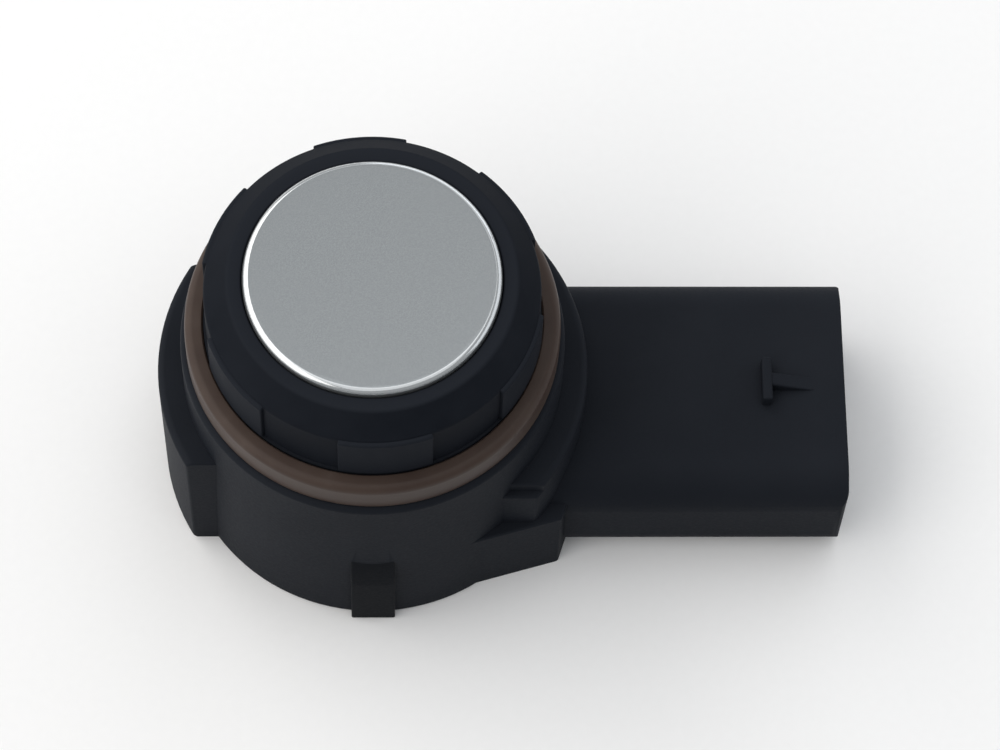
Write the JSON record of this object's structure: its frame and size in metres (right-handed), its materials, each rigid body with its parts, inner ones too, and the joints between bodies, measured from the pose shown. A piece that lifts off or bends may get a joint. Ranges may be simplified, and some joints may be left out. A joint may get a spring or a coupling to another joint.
{
  "type": "ultrasonic parking sensor",
  "caption": "Bumper-mounted ultrasonic parking sensor with a silver face, lugged soft ring, brown seal and side connector.",
  "frame": {"origin": "on the sensing axis at the rear face", "axes": "+Z along the sensing axis, out of the silver face; +X out of the connector's mouth"},
  "size_m": [0.0438, 0.0254, 0.0243],
  "materials": {
    "housing_plastic": "fine moulded grain",
    "lid_plastic": "fine moulded grain",
    "clear_gel": "smooth",
    "silver_face": "satin silver paint",
    "piezo_ceramic": "matte",
    "grey_foam": "matte",
    "white_filler": "matte",
    "black_rubber": "satin",
    "brown_rubber": "satin",
    "board_green": "solder mask",
    "chip_black": "matte",
    "ferrite": "matte",
    "copper_wire": "enamelled",
    "capacitor_tan": "moulded",
    "capacitor_brown": "matte",
    "tinned_brass": "tinned",
    "lead_red": "smooth",
    "lead_black": "smooth"
  },
  "bodies": {
    "root": {"housing": "housing_plastic", "rear_cover": "lid_plastic", "sealing_gel": "clear_gel", "membrane_pot": "silver_face", "piezo_disc": "piezo_ceramic", "damping_foam": "grey_foam", "pot_filler": "white_filler", "decoupling_ring": "black_rubber", "seal_ring": "brown_rubber", "circuit_board": "board_green", "signal_chip": "chip_black", "transformer_core": "ferrite", "transformer_coil": "copper_wire", "storage_capacitor": "capacitor_tan", "chip_capacitors": "capacitor_brown", "chip_resistors": "chip_black", "terminal_supply": "tinned_brass", "terminal_signal": "tinned_brass", "terminal_ground": "tinned_brass", "piezo_lead": "lead_red", "pot_lead": "lead_black"}
  },
  "joints": []
}
